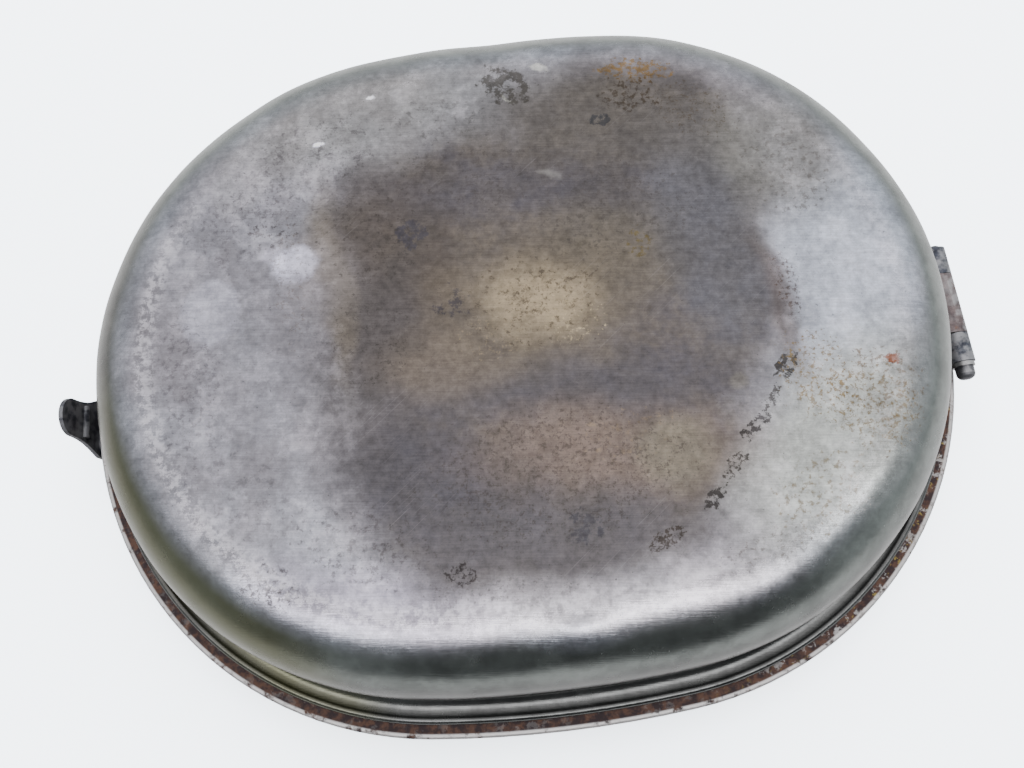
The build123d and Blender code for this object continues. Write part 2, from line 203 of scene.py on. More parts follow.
# an elliptical stain, 1 inside and 0 outside
def makeSpotGroup():
    tree, given, result = startGroup("stainSpot", [
        ("Place", arrow, None),
        ("CentreX", number, 0.0),
        ("CentreY", number, 0.0),
        ("ReachX", number, 10.0),
        ("ReachY", number, 10.0),
        ("Turn", number, 0.0),
        ("Softness", number, 0.3),
    ], [("Mask", number)])
    centre = tree.nodes.new("ShaderNodeCombineXYZ")
    feed(tree, centre.inputs["X"], given["CentreX"])
    feed(tree, centre.inputs["Y"], given["CentreY"])
    offset = vectorMaths(tree, "SUBTRACT", given["Place"], centre.outputs[0])
    turned = tree.nodes.new("ShaderNodeVectorRotate")
    turned.rotation_type = "Z_AXIS"
    feed(tree, turned.inputs["Vector"], offset)
    feed(tree, turned.inputs["Angle"], maths(tree, "MULTIPLY", given["Turn"], -1.0))
    reach = tree.nodes.new("ShaderNodeCombineXYZ")
    feed(tree, reach.inputs["X"], given["ReachX"])
    feed(tree, reach.inputs["Y"], given["ReachY"])
    reach.inputs["Z"].default_value = 1000.0
    scaled = vectorMaths(tree, "DIVIDE", turned.outputs[0], reach.outputs[0])
    distance = vectorMaths(tree, "LENGTH", scaled)
    inner = maths(tree, "SUBTRACT", 1.0, given["Softness"])
    outer = maths(tree, "ADD", 1.0, given["Softness"])
    feed(tree, result["Mask"], spread(tree, distance, inner, outer, 1.0, 0.0))
    return tree


# scattered specks that cover a share of the surface
def makeSpeckleGroup():
    tree, given, result = startGroup("scatteredSpecks", [
        ("Place", arrow, None),
        ("Size", number, 1.0),
        ("Cover", number, 0.3),
        ("Edge", number, 0.05),
    ], [("Mask", number)])
    scale = maths(tree, "DIVIDE", 1.0, given["Size"])
    field = noiseField(tree, given["Place"], scale, detail=4.0, roughness=0.65)
    start = spread(tree, given["Cover"], 0.0, 1.0, 0.72, 0.30, smooth=False)
    feed(tree, result["Mask"], spread(tree, field, start, maths(tree, "ADD", start, given["Edge"])))
    return tree


# the long fine lines that rolling and rubbing leave in sheet steel
def makeGrainGroup():
    tree, given, result = startGroup("brushedGrain", [
        ("Place", arrow, None),
        ("Turn", number, 0.0),
        ("Length", number, 9.0),
        ("Width", number, 0.35),
    ], [("Grain", number), ("Scratches", number)])
    turned = tree.nodes.new("ShaderNodeVectorRotate")
    turned.rotation_type = "Z_AXIS"
    feed(tree, turned.inputs["Vector"], given["Place"])
    feed(tree, turned.inputs["Angle"], maths(tree, "MULTIPLY", given["Turn"], -1.0))
    steps = tree.nodes.new("ShaderNodeCombineXYZ")
    feed(tree, steps.inputs["X"], given["Length"])
    feed(tree, steps.inputs["Y"], given["Width"])
    feed(tree, steps.inputs["Z"], given["Length"])
    squeezed = vectorMaths(tree, "DIVIDE", turned.outputs[0], steps.outputs[0])
    feed(tree, result["Grain"], noiseField(tree, squeezed, 1.0, detail=5.0, roughness=0.7))
    longer = vectorMaths(tree, "MULTIPLY", squeezed, (0.8, 1.3, 1.0))
    lines = noiseField(tree, longer, 1.0, detail=2.0, roughness=0.4)
    feed(tree, result["Scratches"], spread(tree, lines, 0.66, 0.72))
    return tree


# bright metal where edges stand proud
def makeEdgeGroup():
    tree, given, result = startGroup("edgeWear", [
        ("Place", arrow, None),
        ("Amount", number, 0.6),
        ("Breakup", number, 2.0),
    ], [("Mask", number)])
    sharp = tree.nodes.new("ShaderNodeNewGeometry").outputs["Pointiness"]
    proud = spread(tree, sharp, 0.51, 0.58)
    breaks = noiseField(tree, given["Place"], maths(tree, "DIVIDE", 1.0, given["Breakup"]))
    patchy = spread(tree, breaks, 0.35, 0.6)
    worn = maths(tree, "MULTIPLY", proud, maths(tree, "MULTIPLY", patchy, given["Amount"]))
    feed(tree, result["Mask"], maths(tree, "MINIMUM", worn, 1.0))
    return tree


placeGroup = makePlaceGroup()
spotGroup = makeSpotGroup()
speckleGroup = makeSpeckleGroup()
grainGroup = makeGrainGroup()
edgeGroup = makeEdgeGroup()
print("shared node groups built")


def startMaterial(name):
    material = bpy.data.materials.new(name)
    material.use_nodes = True
    tree = material.node_tree
    shader = tree.nodes["Principled BSDF"]
    return material, tree, shader


def addBump(tree, shader, height, strength, depth):
    bump = tree.nodes.new("ShaderNodeBump")
    bump.inputs["Strength"].default_value = strength
    bump.inputs["Distance"].default_value = depth
    feed(tree, bump.inputs["Height"], height)
    feed(tree, shader.inputs["Normal"], bump.outputs["Normal"])


# the pan's shape, which its skin and its stains are laid out from
panShape = {
    "endRadius": 82.9 * mm,
    "sheet": 1.0 * mm,
    "beadRadius": 1.05 * mm,
    "wallInset": 6.0 * mm,
    "draft": math.radians(3.4),
    "shoulder": 16.0 * mm,
    "cove": 3.0 * mm,
    "beadHeight": rimLow[2] + 1.05 * mm,
    "flangeLow": 0.4 * mm,  # the flange's faces, below and above the middle of the bead
    "flangeHigh": 0.6 * mm,
    "mouth": ((0.3 * mm, 0.0), (1.2 * mm, 0.4 * mm)),  # steps from the inner wall out to the bead's underside
    "endSteps": 130,
    "sideSteps": 32,
    "baseRings": 34,
    "innerRings": 8,
}
endCentre = rimHalfLength - panShape["endRadius"]
narrower = rimHalfWidth - panShape["endRadius"]
sideRadius = (rimHalfWidth**2 + endCentre**2 - panShape["endRadius"]**2) / (2 * narrower)
sideCentre = sideRadius - rimHalfWidth
joinAngle = math.atan2(sideCentre, endCentre)


# how far a point lies inside the rim's outline, in millimetres
def makeInsetGroup():
    tree, given, result = startGroup("insetFromRim", [("Place", arrow, None)], [("Inset", number)])
    folded = vectorMaths(tree, "ABSOLUTE", given["Place"])
    flatten = vectorMaths(tree, "MULTIPLY", folded, (1.0, 1.0, 0.0))
    split = tree.nodes.new("ShaderNodeSeparateXYZ")
    feed(tree, split.inputs[0], flatten)
    fromEnd = vectorMaths(tree, "LENGTH", vectorMaths(tree, "SUBTRACT", flatten, (endCentre / mm, 0, 0)))
    fromSide = vectorMaths(tree, "LENGTH", vectorMaths(tree, "SUBTRACT", flatten, (0, -sideCentre / mm, 0)))
    endInset = maths(tree, "SUBTRACT", panShape["endRadius"] / mm, fromEnd)
    sideInset = maths(tree, "SUBTRACT", sideRadius / mm, fromSide)
    fromSideCentre = maths(tree, "ADD", split.outputs["Y"], sideCentre / mm)
    reachY = maths(tree, "MULTIPLY", fromSideCentre, endCentre / mm)
    reachX = maths(tree, "MULTIPLY", split.outputs["X"], sideCentre / mm)
    beside = maths(tree, "GREATER_THAN", reachY, reachX)
    difference = maths(tree, "SUBTRACT", sideInset, endInset)
    feed(tree, result["Inset"], maths(tree, "ADD", endInset, maths(tree, "MULTIPLY", difference, beside)))
    return tree


insetGroup = makeInsetGroup()


# pan steel: worn silver with a heat tint, rust specks and stains
panFinish = {
    "silver": steelShade(168, 166, 171),
    "silverCool": steelShade(174, 176, 182),
    "tintCool": steelShade(109, 105, 110),
    "tintWarm": steelShade(132, 124, 117),
    "grime": steelShade(88, 84, 82),
    "rubbed": steelShade(206, 204, 207),
    "speck": steelShade(70, 66, 66),
    "scuff": steelShade(204, 203, 206),
    "scratch": steelShade(200, 198, 200),
    "wall": (0.180, 0.195, 0.188, 1.0),
    "wallLeft": (0.118, 0.115, 0.110, 1.0),
    # painted shade: the lower wall's darker colour stands in for the dark lid and floor it mirrors
    "wallFootShade": (0.085, 0.085, 0.085, 1.0),
    "olive": (0.100, 0.100, 0.055, 1.0),
    "olivePlace": (-72.0, -43.0, 42.0, 12.0, -56, 0.5),
    "grainTurn": math.radians(-6.5),
    "scratchTurn": math.radians(38),
    "roughness": 0.34,
    "dirtMetal": 0.92,
    "bumpStrength": 0.25,
    "bumpDepth": 0.12 * mm,
}

# specks thin out towards the edge of their stain: the noise level that they start at
speckRules = {"sizes": (0.8, 1.3, 2.3), "atEdge": 0.84, "atMiddle": 0.70, "perCover": 0.40, "blur": 0.11}

# the heated patch: centre x, y, reach x, y, turn in degrees, softness
heatPatches = [
    (9, 4, 49, 38, 0, 0.12),
    (4, -26, 42, 33, 12, 0.20),
    (30, 34, 30, 26, -20, 0.24),
    (-12, 24, 30, 22, 20, 0.34),
]

# stains and painted highlights on the base: centre x, y, reach x, y, turn in degrees, softness, shade,
# strength
baseStainsAndHighlights = [
    # bright zones, some of them painted light
    (-62, 8, 26, 46, 8, 0.55, (153, 151, 158), 0.6),
    # painted highlight: the right end is painted brighter for the stronger light falling from that side
    (72, 4, 14, 26, -8, 0.45, (192, 195, 201), 0.85),
    (60, 32, 16, 14, -30, 0.5, (150, 149, 146), 0.75),
    (62, -34, 26, 14, 42, 0.5, (185, 187, 184), 0.8),
    # painted highlight: these two pale bands on the base's front edge paint the bright line that the shoulder
    # reflects
    (8, -60, 34, 5, 0, 0.6, (196, 194, 197), 0.7),
    (-35, -56, 22, 7, -14, 0.6, (182, 178, 188), 0.6),
    (-30, 54, 30, 12, 12, 0.6, (166, 165, 163), 0.6),
    # heat colours inside the patch
    (-26, 14, 16, 26, 6, 0.4, (106, 97, 90), 0.75),
    (-32, -10, 14, 24, 0, 0.5, (106, 101, 102), 0.8),
    (4, 30, 34, 7, -6, 0.65, (102, 100, 108), 0.55),
    (43, 14, 11, 28, 8, 0.45, (120, 120, 127), 0.8),
    (10, -17, 32, 6.5, -3, 0.6, (103, 101, 109), 0.7),
    (-20, -36, 20, 12, -20, 0.5, (96, 95, 104), 0.75),
    (16, -31, 25, 9, -4, 0.65, (147, 132, 122), 0.7),
    (29, -32, 8, 7, 0, 0.5, (152, 147, 132), 0.6),
    (2, -48, 28, 10, 0, 0.5, (106, 103, 107), 0.85),
    (22, 46, 30, 12, -10, 0.5, (116, 111, 106), 0.7),
    (-16, -9, 12, 8, 0, 0.6, (134, 124, 114), 0.75),
    (22, 12, 14, 12, 0, 0.6, (122, 116, 106), 0.6),
    (5, 4, 19, 14, 0, 0.6, (138, 128, 112), 0.7),
    (5, 4, 11, 8.5, -10, 0.55, (178, 168, 148), 0.8),
    (57, -4, 3, 14, 4, 0.6, (104, 84, 72), 0.6),
    (-39, 14, 3, 20, 4, 0.7, (142, 132, 112), 0.5),
]

# marks made of specks: the same eight values, then the specks' size and cover
speckleStains = [
    # the pale middle
    (5, 4, 10, 8, 0, 0.5, (86, 74, 60), 0.75, 0.8, 0.42),
    (4, 4, 19, 14, 0, 0.4, (96, 84, 70), 0.7, 1.3, 0.40),
    (12, -2, 10, 7, 0, 0.5, (196, 188, 168), 0.6, 0.8, 0.35),
    (-6, -4, 10, 7, 0, 0.5, (176, 164, 142), 0.5, 0.8, 0.40),
    # grime inside the heated patch
    (-14, 5, 6, 5, 0, 0.5, (78, 74, 82), 0.75, 2.3, 0.55),
    (-21, 22, 4, 5, 0, 0.4, (78, 76, 90), 0.75, 2.3, 0.65),
    (-30, 22, 18, 18, 0, 0.6, (74, 68, 64), 0.6, 1.3, 0.42),
    (-32, -2, 14, 16, 0, 0.6, (80, 75, 72), 0.6, 0.8, 0.42),
    (-8, 34, 26, 14, 0, 0.6, (86, 80, 78), 0.45, 1.3, 0.42),
    (24, 22, 24, 18, 0, 0.6, (84, 78, 74), 0.45, 1.3, 0.46),
    (4, -34, 40, 20, 0, 0.6, (84, 76, 72), 0.55, 0.8, 0.48),
    (20, -28, 16, 8, 0, 0.6, (166, 150, 128), 0.45, 1.3, 0.40),
    (8, -46, 6, 5, 0, 0.6, (76, 76, 88), 0.7, 2.3, 0.55),
    (28, 14, 4, 6, 0, 0.6, (122, 108, 66), 0.65, 1.3, 0.5),
    # the far side
    (4, 57, 8, 6, -30, 0.5, (76, 72, 66), 0.85, 2.3, 0.70),
    (-12, 50, 16, 9, 0, 0.6, (92, 88, 86), 0.5, 1.3, 0.45),
    (24, 45, 3, 2, -10, 0.4, (64, 66, 72), 0.8, 1.3, 0.70),
    (34, 57, 11, 4.5, -8, 0.5, (140, 112, 54), 0.85, 1.3, 0.60),
    (32, 51, 10, 7, 0, 0.6, (74, 62, 48), 0.8, 1.3, 0.52),
    (46, 45, 14, 10, -30, 0.6, (96, 84, 68), 0.65, 0.8, 0.45),
    (-42, 44, 24, 15, 20, 0.6, (88, 82, 86), 0.6, 2.3, 0.44),
    (-46, 40, 24, 18, 20, 0.6, (90, 84, 88), 0.5, 0.8, 0.46),
    (-60, 28, 16, 14, 0, 0.6, (98, 92, 98), 0.5, 1.3, 0.46),
    (-52, 26, 8, 5, 0, 0.5, (88, 82, 84), 0.7, 1.3, 0.50),
    # the dark crumbly line at the patch's right edge
    (54, -18, 3.6, 2.6, 60, 0.4, (54, 50, 47), 0.9, 1.3, 0.70),
    (50, -24, 3.6, 1.6, 50, 0.4, (62, 57, 54), 0.85, 0.8, 0.60),
    (46, -29, 5.5, 2.0, 42, 0.4, (54, 50, 48), 0.9, 1.3, 0.65),
    (40, -37, 5.0, 1.6, 46, 0.4, (66, 60, 56), 0.85, 0.8, 0.60),
    (35, -43, 3.6, 1.9, 48, 0.4, (52, 48, 46), 0.9, 1.3, 0.70),
    (24, -50, 5.0, 2.0, 20, 0.4, (72, 62, 54), 0.85, 0.8, 0.65),
    (58, 0, 3.5, 12, 4, 0.6, (92, 70, 56), 0.7, 0.8, 0.50),
    # rust and scuffs on the right
    (73, -25, 13, 12, -30, 0.5, (122, 94, 40), 0.75, 1.3, 0.46),
    (70, -28, 14, 12, -30, 0.5, (138, 116, 60), 0.75, 0.8, 0.50),
    (60, -20, 10, 14, 0, 0.6, (150, 130, 80), 0.8, 0.8, 0.50),
    (76, -19, 2, 1.4, 0, 0.4, (150, 82, 34), 0.9, 0.8, 0.75),
    (56, -44, 15, 10, 30, 0.6, (140, 124, 84), 0.7, 1.3, 0.48),
    (64, 28, 14, 18, 0, 0.6, (112, 106, 100), 0.6, 1.3, 0.46),
    (44, -54, 16, 5, 14, 0.6, (112, 100, 88), 0.6, 0.8, 0.42),
    # scuffs on the left and along the front
    (-71, -8, 10, 26, 4, 0.6, (98, 92, 98), 0.5, 1.3, 0.48),
    (-62, -32, 20, 15, -30, 0.6, (102, 96, 100), 0.4, 2.3, 0.42),
    (-55, -50, 9, 5, -34, 0.5, (80, 72, 76), 0.8, 1.3, 0.55),
    (-36, -44, 20, 11, -20, 0.6, (84, 77, 78), 0.55, 1.3, 0.48),
    (-17, -52, 4, 3, 0, 0.4, (64, 58, 58), 0.85, 0.8, 0.60),
    (-10, -56, 26, 4, -4, 0.6, (98, 92, 92), 0.5, 0.8, 0.42),
    (-48, 14, 6, 22, 4, 0.6, (128, 116, 104), 0.5, 0.8, 0.45),
]

# pale patches and bright marks, laid out as the stains are
palePatches = [
    (-47, 18, 5.0, 4.2, 20, 0.26, (206, 206, 213), 0.75),
    (-52, 21, 2.6, 1.8, 0, 0.4, (198, 197, 204), 0.5),
    (-41, 14, 7, 10, 10, 0.6, (176, 172, 174), 0.35),
    (-66, 9, 6.4, 7.4, -14, 0.16, (184, 184, 191), 0.7),
    (-58, 40, 9, 6, 60, 0.25, (174, 173, 176), 0.4),
    (-40.5, 47, 1.0, 0.7, 0, 0.5, (226, 226, 230), 0.8),
    (-28, 58, 0.8, 0.5, 0, 0.5, (222, 222, 224), 0.7),
    (12, 60.5, 1.8, 0.7, -20, 0.6, (206, 206, 204), 0.6),
    (3.5, 53.5, 1.4, 0.4, -40, 0.6, (190, 190, 186), 0.6),
    (11, 33, 2.4, 0.8, -20, 0.6, (160, 158, 156), 0.5),
    (44, -20, 2.0, 1.4, 0, 0.5, (150, 146, 140), 0.6),
]


def stainMask(tree, place, x, y, reachX, reachY, turn, softness):
    spot = useGroup(
        tree, spotGroup, Place=place, CentreX=x, CentreY=y, ReachX=reachX, ReachY=reachY,
        Turn=math.radians(turn), Softness=softness,
    )
    return spot["Mask"]


def layStain(tree, colour, place, stain, fields=None):
    shade, strength = stain[6:8]
    mask = stainMask(tree, place, *stain[:6])
    if fields is not None:
        size, cover = stain[8:10]
        field = min(fields, key=lambda each: abs(each[0] - size))[1]
        atMiddle = speckRules["atMiddle"] - speckRules["perCover"] * cover
        start = spread(tree, mask, 0.0, 1.0, speckRules["atEdge"], atMiddle, smooth=False)
        mask = spread(tree, field, start, maths(tree, "ADD", start, speckRules["blur"]))
    amount = maths(tree, "MULTIPLY", mask, strength)
    return mixColour(tree, amount, colour, steelShade(*shade)), amount


def heatMask(tree, place, onBase):
    heat = None
    for patch in heatPatches:
        mask = stainMask(tree, place, *patch)
        heat = mask if heat is None else maths(tree, "MAXIMUM", heat, mask)
    return maths(tree, "MULTIPLY", heat, onBase)


def layAllStains(tree, colour, place, broadPlace, finePlace, onBase):
    for stain in baseStainsAndHighlights:
        colour = layStain(tree, colour, broadPlace, stain)[0]
    for stain in palePatches:
        colour = layStain(tree, colour, finePlace, stain)[0]
    fields = []
    for size in speckRules["sizes"]:
        fields.append((size, noiseField(tree, place, 1 / size, detail=5.0, roughness=0.68)))
    dirt = None
    for stain in speckleStains:
        colour, amount = layStain(tree, colour, finePlace, stain, fields)
        dirt = amount if dirt is None else maths(tree, "MAXIMUM", dirt, amount)
    return colour, maths(tree, "MULTIPLY", dirt, onBase)


# cloudy grime, and small dark specks all over
def addGrime(tree, settings, colour, place, finePlace, heat, crumbs):
    cloud = noiseField(tree, finePlace, 0.09, detail=7.0, roughness=0.7)
    colour = mixColour(tree, spread(tree, cloud, 0.35, 0.68, 0.0, 0.42), colour, settings["grime"])
    unheated = maths(tree, "SUBTRACT", 1.0, heat)
    bare = maths(tree, "MULTIPLY", spread(tree, cloud, 0.52, 0.30, 0.0, 0.18), unheated)
    colour = mixColour(tree, bare, colour, settings["rubbed"])
    uneven = spread(tree, crumbs, 0.32, 0.68, 0.74, 1.26, smooth=False)
    colour = vectorMaths(tree, "SCALE", colour, scale=uneven)
    tiny = useGroup(tree, speckleGroup, Place=place, Size=0.7, Cover=0.16, Edge=0.05)["Mask"]
    return mixColour(tree, maths(tree, "MULTIPLY", tiny, 0.6), colour, settings["speck"])


# the edge that the pan stands on is scuffed bright, most of all at the front left
def scuffEdge(tree, settings, colour, split, inset, crumbs):
    ring = maths(tree, "MULTIPLY", spread(tree, inset, 20.5, 22.5), spread(tree, inset, 27.0, 24.0))
    ring = maths(tree, "MULTIPLY", ring, spread(tree, crumbs, 0.44, 0.56, 0.0, 0.34))
    ring = maths(tree, "MULTIPLY", ring, spread(tree, split.outputs["X"], 40.0, -30.0, 0.25, 1.0))
    ring = maths(tree, "MULTIPLY", ring, spread(tree, split.outputs["Y"], 45.0, 15.0))
    return mixColour(tree, ring, colour, settings["scuff"])


# the walls are darker at the latch end, and darker at the foot as painted shade for the dark lid and shadowed
# floor that the lower wall mirrors, with an olive stain at the front left
def paintWall(tree, settings, split, broadPlace, finePlace):
    leftEnd = spread(tree, split.outputs["X"], -70.0, -92.0)
    wall = mixColour(tree, leftEnd, settings["wall"], settings["wallLeft"])
    # painted shade towards the rim
    footShade = spread(tree, split.outputs["Z"], 47.0, 43.0)
    wall = mixColour(tree, maths(tree, "MULTIPLY", footShade, 0.85), wall, settings["wallFootShade"])
    marks = noiseField(tree, finePlace, 0.16, detail=6.0, roughness=0.7)
    wall = vectorMaths(tree, "SCALE", wall, scale=spread(tree, marks, 0.34, 0.66, 0.80, 1.18))
    olive = stainMask(tree, broadPlace, *settings["olivePlace"])
    return mixColour(tree, maths(tree, "MULTIPLY", olive, 0.8), wall, settings["olive"])


def brushBase(tree, settings, colour, place, onBase):
    along = useGroup(tree, grainGroup, Place=place, Turn=settings["grainTurn"], Length=7.0, Width=0.30)
    grain = along["Grain"]
    light = spread(tree, grain, 0.30, 0.70, 0.86, 1.14, smooth=False)
    colour = mixColour(tree, onBase, colour, vectorMaths(tree, "SCALE", colour, scale=light))
    crossing = useGroup(tree, grainGroup, Place=place, Turn=settings["scratchTurn"], Length=16.0, Width=0.22)
    here = spread(tree, noiseField(tree, place, 0.05, detail=2.0), 0.5, 0.62, 0.0, 0.07)
    scratches = maths(tree, "MULTIPLY", crossing["Scratches"], maths(tree, "MULTIPLY", onBase, here))
    return mixColour(tree, scratches, colour, settings["scratch"]), grain


def makePanMaterial(settings):
    material, tree, shader = startMaterial("wornPanSteel")
    broad = useGroup(tree, placeGroup, Warp=5.0, WarpSize=16.0)
    fine = useGroup(tree, placeGroup, Warp=1.8, WarpSize=3.5)
    place = broad["Place"]
    split = tree.nodes.new("ShaderNodeSeparateXYZ")
    feed(tree, split.inputs[0], place)
    inset = useGroup(tree, insetGroup, Place=place)["Inset"]
    onBase = spread(tree, split.outputs["Z"], panTop / mm - 2.6, panTop / mm - 0.5)
    heat = heatMask(tree, broad["Warped"], onBase)
    mottled = noiseField(tree, fine["Warped"], 0.12, detail=6.0, roughness=0.68)
    crumbs = noiseField(tree, place, 0.55, detail=6.0, roughness=0.72)

    slow = noiseField(tree, place, 0.03, detail=4.0, roughness=0.6)
    silver = mixColour(tree, spread(tree, slow, 0.35, 0.65), settings["silver"], settings["silverCool"])
    tinted = mixColour(tree, spread(tree, mottled, 0.3, 0.7), settings["tintCool"], settings["tintWarm"])
    base = mixColour(tree, heat, silver, tinted)
    base, dirt = layAllStains(tree, base, place, broad["Warped"], fine["Warped"], onBase)
    base = addGrime(tree, settings, base, place, fine["Warped"], heat, crumbs)
    base = scuffEdge(tree, settings, base, split, inset, crumbs)
    wall = paintWall(tree, settings, split, broad["Warped"], fine["Warped"])
    colour, grain = brushBase(tree, settings, mixColour(tree, onBase, wall, base), place, onBase)
    feed(tree, shader.inputs["Base Color"], colour)

    smooth = settings["roughness"]
    rough = spread(tree, mottled, 0.3, 0.7, smooth, smooth + 0.12, smooth=False)
    rough = maths(tree, "ADD", rough, maths(tree, "MULTIPLY", heat, 0.06))
    rough = maths(tree, "ADD", rough, maths(tree, "MULTIPLY", dirt, 0.25))
    smoothWall = spread(tree, inset, 25.5, 22.5, 0.0, -0.16)
    feed(tree, shader.inputs["Roughness"], maths(tree, "ADD", rough, smoothWall, clamp=True))
    metal = spread(tree, dirt, 0.0, 1.0, 1.0, settings["dirtMetal"], smooth=False)
    feed(tree, shader.inputs["Metallic"], metal)
    height = maths(tree, "ADD", grain, maths(tree, "MULTIPLY", mottled, 0.6))
    height = maths(tree, "SUBTRACT", height, maths(tree, "MULTIPLY", dirt, 0.5))
    addBump(tree, shader, height, settings["bumpStrength"], settings["bumpDepth"])
    return material


panSteel = makePanMaterial(panFinish)
print("pan material built")


# the pan's skin: the pressed shell with its shoulder, cove and rolled rim
def ovalRing(inset, height):
    ring = []
    join, half = joinAngle, math.pi
    endRadius, endSteps, sideSteps = panShape["endRadius"], panShape["endSteps"], panShape["sideSteps"]
    arcs = [
        (endCentre, 0, endRadius, -join, join, endSteps),
        (0, -sideCentre, sideRadius, join, half - join, sideSteps),
        (-endCentre, 0, endRadius, half - join, half + join, endSteps),
        (0, sideCentre, sideRadius, half + join, 2 * half - join, sideSteps),
    ]
    for x, y, radius, start, end, steps in arcs:
        for step in range(steps):
            angle = start + (end - start) * step / steps
            reach = radius - inset
            spot = Vector((x + reach * math.cos(angle), y + reach * math.sin(angle), height))
            ring.append(rimCentre + spot)
    return ring


def arcOfProfile(insetCentre, heightCentre, radius, start, end, steps):
    points = []
    for step in range(steps + 1):
        angle = math.radians(start + (end - start) * step / steps)
        points.append((insetCentre - radius * math.cos(angle), heightCentre + radius * math.sin(angle)))
    return points


def wallLine(height, grow):
    lift = height - (panShape["beadHeight"] - panShape["flangeLow"])
    return panShape["wallInset"] + grow + lift * math.tan(panShape["draft"])


def shoulderAndWall(top, grow, radius, wallEnd):
    draftDegrees = math.degrees(panShape["draft"])
    centreHeight = top - radius
    centreInset = wallLine(centreHeight, grow) + radius / math.cos(panShape["draft"])
    profile = arcOfProfile(centreInset, centreHeight, radius, 90, draftDegrees, 30)
    for step in range(1, 9):
        height = profile[30][1] + (wallEnd - profile[30][1]) * step / 8
        profile.append((wallLine(height, grow), height))
    return profile


# a ring drawn in towards the rim's middle to this share of its size
def drawnIn(ring, share):
    return [rimCentre + Vector((
        (point.x - rimCentre.x) * share, (point.y - rimCentre.y) * share, point.z)) for point in ring]


def buildPanSkin(shape):
    flangeTop = shape["beadHeight"] + shape["flangeHigh"]
    coveHeight = flangeTop + shape["cove"]
    draft = shape["draft"]
    coveInset = wallLine(coveHeight, 0) - shape["cove"] / math.cos(draft)
    outside = shoulderAndWall(panTop, 0, shape["shoulder"], coveHeight)
    outside += [(2 * coveInset - inset, height) for inset, height in
                arcOfProfile(coveInset, coveHeight, shape["cove"], -math.degrees(draft), -90, 8)][1:]
    bead = [(2 * shape["beadRadius"] - inset, height) for inset, height in
            arcOfProfile(shape["beadRadius"], shape["beadHeight"], shape["beadRadius"], 38, 338, 22)]
    inside = shoulderAndWall(panTop - shape["sheet"], shape["sheet"], shape["shoulder"] - shape["sheet"],
                             flangeTop + shape["sheet"])
    mouth = [(inside[-1][0] - out, shape["beadHeight"] - down) for out, down in shape["mouth"]]

    rings = []
    outerEdge = ovalRing(*outside[0])
    for step in range(1, shape["baseRings"]):
        rings.append(drawnIn(outerEdge, math.sin(math.pi / 2 * step / shape["baseRings"])))
    rings += [ovalRing(inset, height) for inset, height in outside + bead + mouth + inside[::-1]]
    innerEdge = ovalRing(*inside[0])
    for step in range(shape["innerRings"], 0, -1):
        rings.append(drawnIn(innerEdge, step / (shape["innerRings"] + 1)))
    return rings


# knocks in the sheet: place, reach and push in millimetres
panKnocks = [
    (Vector((5, -66, 49)), 9.0, Vector((0, -0.3, 0.75))),
    (Vector((-8, -66, 49)), 9.0, Vector((0, 0.25, -0.35))),
    (Vector((20, -66, 49)), 9.0, Vector((0, 0.25, -0.30))),
    (Vector((58, -50, 48)), 12.0, Vector((-0.3, 0.35, -0.35))),
    (Vector((72, -36, 48)), 9.0, Vector((0.2, -0.1, 0.3))),
    (Vector((-60, 60, 47)), 14.0, Vector((0.3, -0.3, -0.2))),
    (Vector((2, 70, 46)), 8.0, Vector((0, -0.5, -0.3))),
]


def knockPan(point):
    local = (point - rimCentre) / mm
    push = Vector((0, 0, 0))
    for centre, reach, by in panKnocks:
        push += by * math.exp(-((local - centre).length / reach) ** 2)
    ripple = noise.noise(local * 0.045) * 0.16 + noise.noise(local * 0.11 + Vector((7, 3, 1))) * 0.05
    fade = min(1.0, max(0.0, (local.z - 24) / 8))
    outward = Vector((local.x * mm / rimHalfLength, local.y * mm / rimHalfWidth, 0))
    push += fade * ripple * outward
    push.z += fade * (ripple - 0.16)  # never above the flat base
    moved = local + push
    moved.z = min(moved.z, panTop / mm - 0.01)
    return moved * mm + rimCentre


def meshFromRings(name, rings, warp=None):
    count = len(rings[0])
    points = [point for ring in rings for point in ring]
    first = sum(rings[0], Vector()) / count
    last = sum(rings[-1], Vector()) / count
    points += [first, last]
    if warp:
        points = [warp(point) for point in points]
    faces = []
    for ring in range(len(rings) - 1):
        for step in range(count):
            following = (step + 1) % count
            faces.append((ring * count + step, (ring + 1) * count + step,
                          (ring + 1) * count + following, ring * count + following))
    lastStart = (len(rings) - 1) * count
    for step in range(count):
        following = (step + 1) % count
        faces.append((len(points) - 2, step, following))
        faces.append((len(points) - 1, lastStart + following, lastStart + step))
    mesh = bpy.data.meshes.new(name)
    mesh.from_pydata([tuple(point) for point in points], [], faces)
    mesh.polygons.foreach_set("use_smooth", [True] * len(mesh.polygons))
    mesh.update()
    piece = bpy.data.objects.new(name, mesh)
    bpy.context.collection.objects.link(piece)
    return piece


panSkin = meshFromRings("panSkin", buildPanSkin(panShape), knockPan)
panSkin.data.materials.append(panSteel)
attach(panSkin, "pan")
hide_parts("pan_shell")
print("pan skin built")


# lid steel: bare inside and below, rusty along the flange
lidFinish = {
    "bare": tone(150, 148, 148),
    "bareDark": tone(112, 108, 106),
    "rustDark": tone(30, 22, 24),
    "rustBrown": tone(60, 42, 34),
    "ochre": tone(92, 80, 44),
    # pale roll: wear and painted highlight
    "paleRollWearAndSheen": tone(178, 176, 176),
    "roughness": 0.38,
    "rustRoughness": 0.72,
    "rustMetal": 0.25,
}


